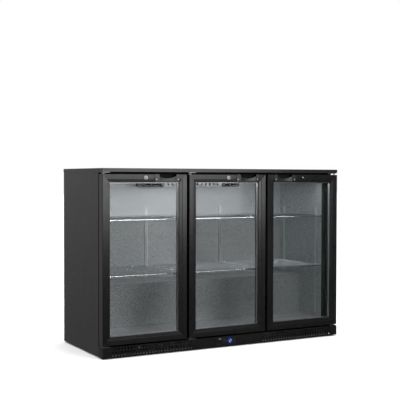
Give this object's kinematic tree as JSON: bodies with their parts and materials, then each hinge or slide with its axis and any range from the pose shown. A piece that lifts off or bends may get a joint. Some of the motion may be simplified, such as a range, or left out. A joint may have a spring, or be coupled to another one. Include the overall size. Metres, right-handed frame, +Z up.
{
  "type": "undercounter refrigerator",
  "caption": "Black undercounter drinks refrigerator with glazed hinged doors, recessed handles, key locks, wire shelves, lit interior and a vented plinth with its controls.",
  "frame": {"origin": "bottom centre of the object's box, on the floor under the levelling feet", "axes": "+Z up, +X along the width to the viewer's right, doors face -Y"},
  "size_m": [1.35, 0.524, 0.89],
  "materials": {
    "cabinet_paint": "satin",
    "door_frame_plastic": "satin",
    "black_plastic": "satin",
    "galvanised_sheet": "satin",
    "foam": "matte",
    "stucco_aluminium": "satin",
    "aluminium": "satin",
    "chrome_wire": "polished",
    "steel_parts": "satin",
    "glass": "gloss",
    "gasket_rubber": "matte",
    "nylon": "satin",
    "knob_blue": "gloss",
    "led_blue": "gloss",
    "light_diffuser": "satin",
    "compressor_black": "satin"
  },
  "bodies": {
    "cabinet": {"worktop": "cabinet_paint", "side_panel_left": "cabinet_paint", "side_panel_right": "cabinet_paint", "back_panel": "galvanised_sheet", "base_pan": "galvanised_sheet", "insulation": "foam", "liner": "stucco_aluminium", "front_frame": "black_plastic", "plinth_grille": "cabinet_paint", "cabinet_screws": "steel_parts", "control_housing": "black_plastic", "power_led": "led_blue", "hinge_plates": "steel_parts", "levelling_feet": "steel_parts", "shelf_pilasters": "aluminium", "shelf_clips": "steel_parts", "evaporator_cover": "aluminium", "evaporator_coil": "aluminium", "fan_frames": "black_plastic", "interior_light": "light_diffuser", "compressor": "compressor_black", "condenser": "aluminium", "rear_grille": "cabinet_paint", "drip_tray": "black_plastic", "cable_gland": "black_plastic"},
    "left_door": {"left_door_frame": "door_frame_plastic", "left_door_glass": "glass", "left_door_spacer": "aluminium", "left_door_gasket": "gasket_rubber", "left_door_handle": "black_plastic", "left_lock_housing": "chrome_wire", "left_hinge_bushes": "nylon"},
    "middle_door": {"middle_door_frame": "door_frame_plastic", "middle_door_glass": "glass", "middle_door_spacer": "aluminium", "middle_door_gasket": "gasket_rubber", "middle_door_handle": "black_plastic", "middle_lock_housing": "chrome_wire", "middle_hinge_bushes": "nylon"},
    "right_door": {"right_door_frame": "door_frame_plastic", "right_door_glass": "glass", "right_door_spacer": "aluminium", "right_door_gasket": "gasket_rubber", "right_door_handle": "black_plastic", "right_lock_housing": "chrome_wire", "right_hinge_bushes": "nylon"},
    "left_lock": {"left_lock_cylinder": "chrome_wire"},
    "middle_lock": {"middle_lock_cylinder": "chrome_wire"},
    "right_lock": {"right_lock_cylinder": "chrome_wire"},
    "left_upper_shelf": {"left_upper_shelf": "chrome_wire"},
    "left_lower_shelf": {"left_lower_shelf": "chrome_wire"},
    "middle_upper_shelf": {"middle_upper_shelf": "chrome_wire"},
    "middle_lower_shelf": {"middle_lower_shelf": "chrome_wire"},
    "right_upper_shelf": {"right_upper_shelf": "chrome_wire"},
    "right_lower_shelf": {"right_lower_shelf": "chrome_wire"},
    "left_fan": {"left_fan": "black_plastic"},
    "right_fan": {"right_fan": "black_plastic"},
    "condenser_fan": {"condenser_fan": "steel_parts"},
    "thermostat_knob": {"thermostat_knob": "knob_blue"},
    "light_switch": {"light_switch": "black_plastic"}
  },
  "joints": [
    {"name": "left_door_hinge", "type": "hinge", "parent": "cabinet", "child": "left_door", "pos_m": [-0.665, -0.245, 0.46], "axis": [0, 0, -1], "range_deg": [0, 105], "stiffness_Nm_per_rad": 0.8, "springref_deg": -8.59},
    {"name": "middle_door_hinge", "type": "hinge", "parent": "cabinet", "child": "middle_door", "pos_m": [-0.21083, -0.245, 0.46], "axis": [0, 0, -1], "range_deg": [0, 105], "stiffness_Nm_per_rad": 0.8, "springref_deg": -8.59},
    {"name": "right_door_hinge", "type": "hinge", "parent": "cabinet", "child": "right_door", "pos_m": [0.665, -0.245, 0.46], "axis": [0, 0, 1], "range_deg": [0, 105], "stiffness_Nm_per_rad": 0.8, "springref_deg": -8.59},
    {"name": "left_lock_turn", "type": "hinge", "parent": "left_door", "child": "left_lock", "pos_m": [-0.45417, -0.255, 0.846], "axis": [0, 1, 0], "range_deg": [0, 90]},
    {"name": "middle_lock_turn", "type": "hinge", "parent": "middle_door", "child": "middle_lock", "pos_m": [0, -0.255, 0.846], "axis": [0, 1, 0], "range_deg": [0, 90]},
    {"name": "right_lock_turn", "type": "hinge", "parent": "right_door", "child": "right_lock", "pos_m": [0.45417, -0.255, 0.846], "axis": [0, -1, 0], "range_deg": [0, 90]},
    {"name": "left_upper_shelf_lift", "type": "slide", "parent": "cabinet", "child": "left_upper_shelf", "axis": [0, 0, 1], "range_m": [0, 0.015]},
    {"name": "left_lower_shelf_lift", "type": "slide", "parent": "cabinet", "child": "left_lower_shelf", "axis": [0, 0, 1], "range_m": [0, 0.015]},
    {"name": "middle_upper_shelf_lift", "type": "slide", "parent": "cabinet", "child": "middle_upper_shelf", "axis": [0, 0, 1], "range_m": [0, 0.015]},
    {"name": "middle_lower_shelf_lift", "type": "slide", "parent": "cabinet", "child": "middle_lower_shelf", "axis": [0, 0, 1], "range_m": [0, 0.015]},
    {"name": "right_upper_shelf_lift", "type": "slide", "parent": "cabinet", "child": "right_upper_shelf", "axis": [0, 0, 1], "range_m": [0, 0.015]},
    {"name": "right_lower_shelf_lift", "type": "slide", "parent": "cabinet", "child": "right_lower_shelf", "axis": [0, 0, 1], "range_m": [0, 0.015]},
    {"name": "left_fan_spin", "type": "hinge", "parent": "cabinet", "child": "left_fan", "pos_m": [-0.236, 0.165, 0.811], "axis": [0, 0, 1], "continuous": true},
    {"name": "right_fan_spin", "type": "hinge", "parent": "cabinet", "child": "right_fan", "pos_m": [0.236, 0.165, 0.811], "axis": [0, 0, 1], "continuous": true},
    {"name": "condenser_fan_spin", "type": "hinge", "parent": "cabinet", "child": "condenser_fan", "pos_m": [-0.3835, 0.141, 0.0965], "axis": [0, 1, 0], "continuous": true},
    {"name": "thermostat_turn", "type": "hinge", "parent": "cabinet", "child": "thermostat_knob", "pos_m": [0.012, -0.255, 0.031], "axis": [0, 1, 0], "range_deg": [0, 270]},
    {"name": "light_switch_rock", "type": "hinge", "parent": "cabinet", "child": "light_switch", "pos_m": [-0.048, -0.2536, 0.027], "axis": [-1, 0, 0], "range_deg": [0, 14]}
  ]
}
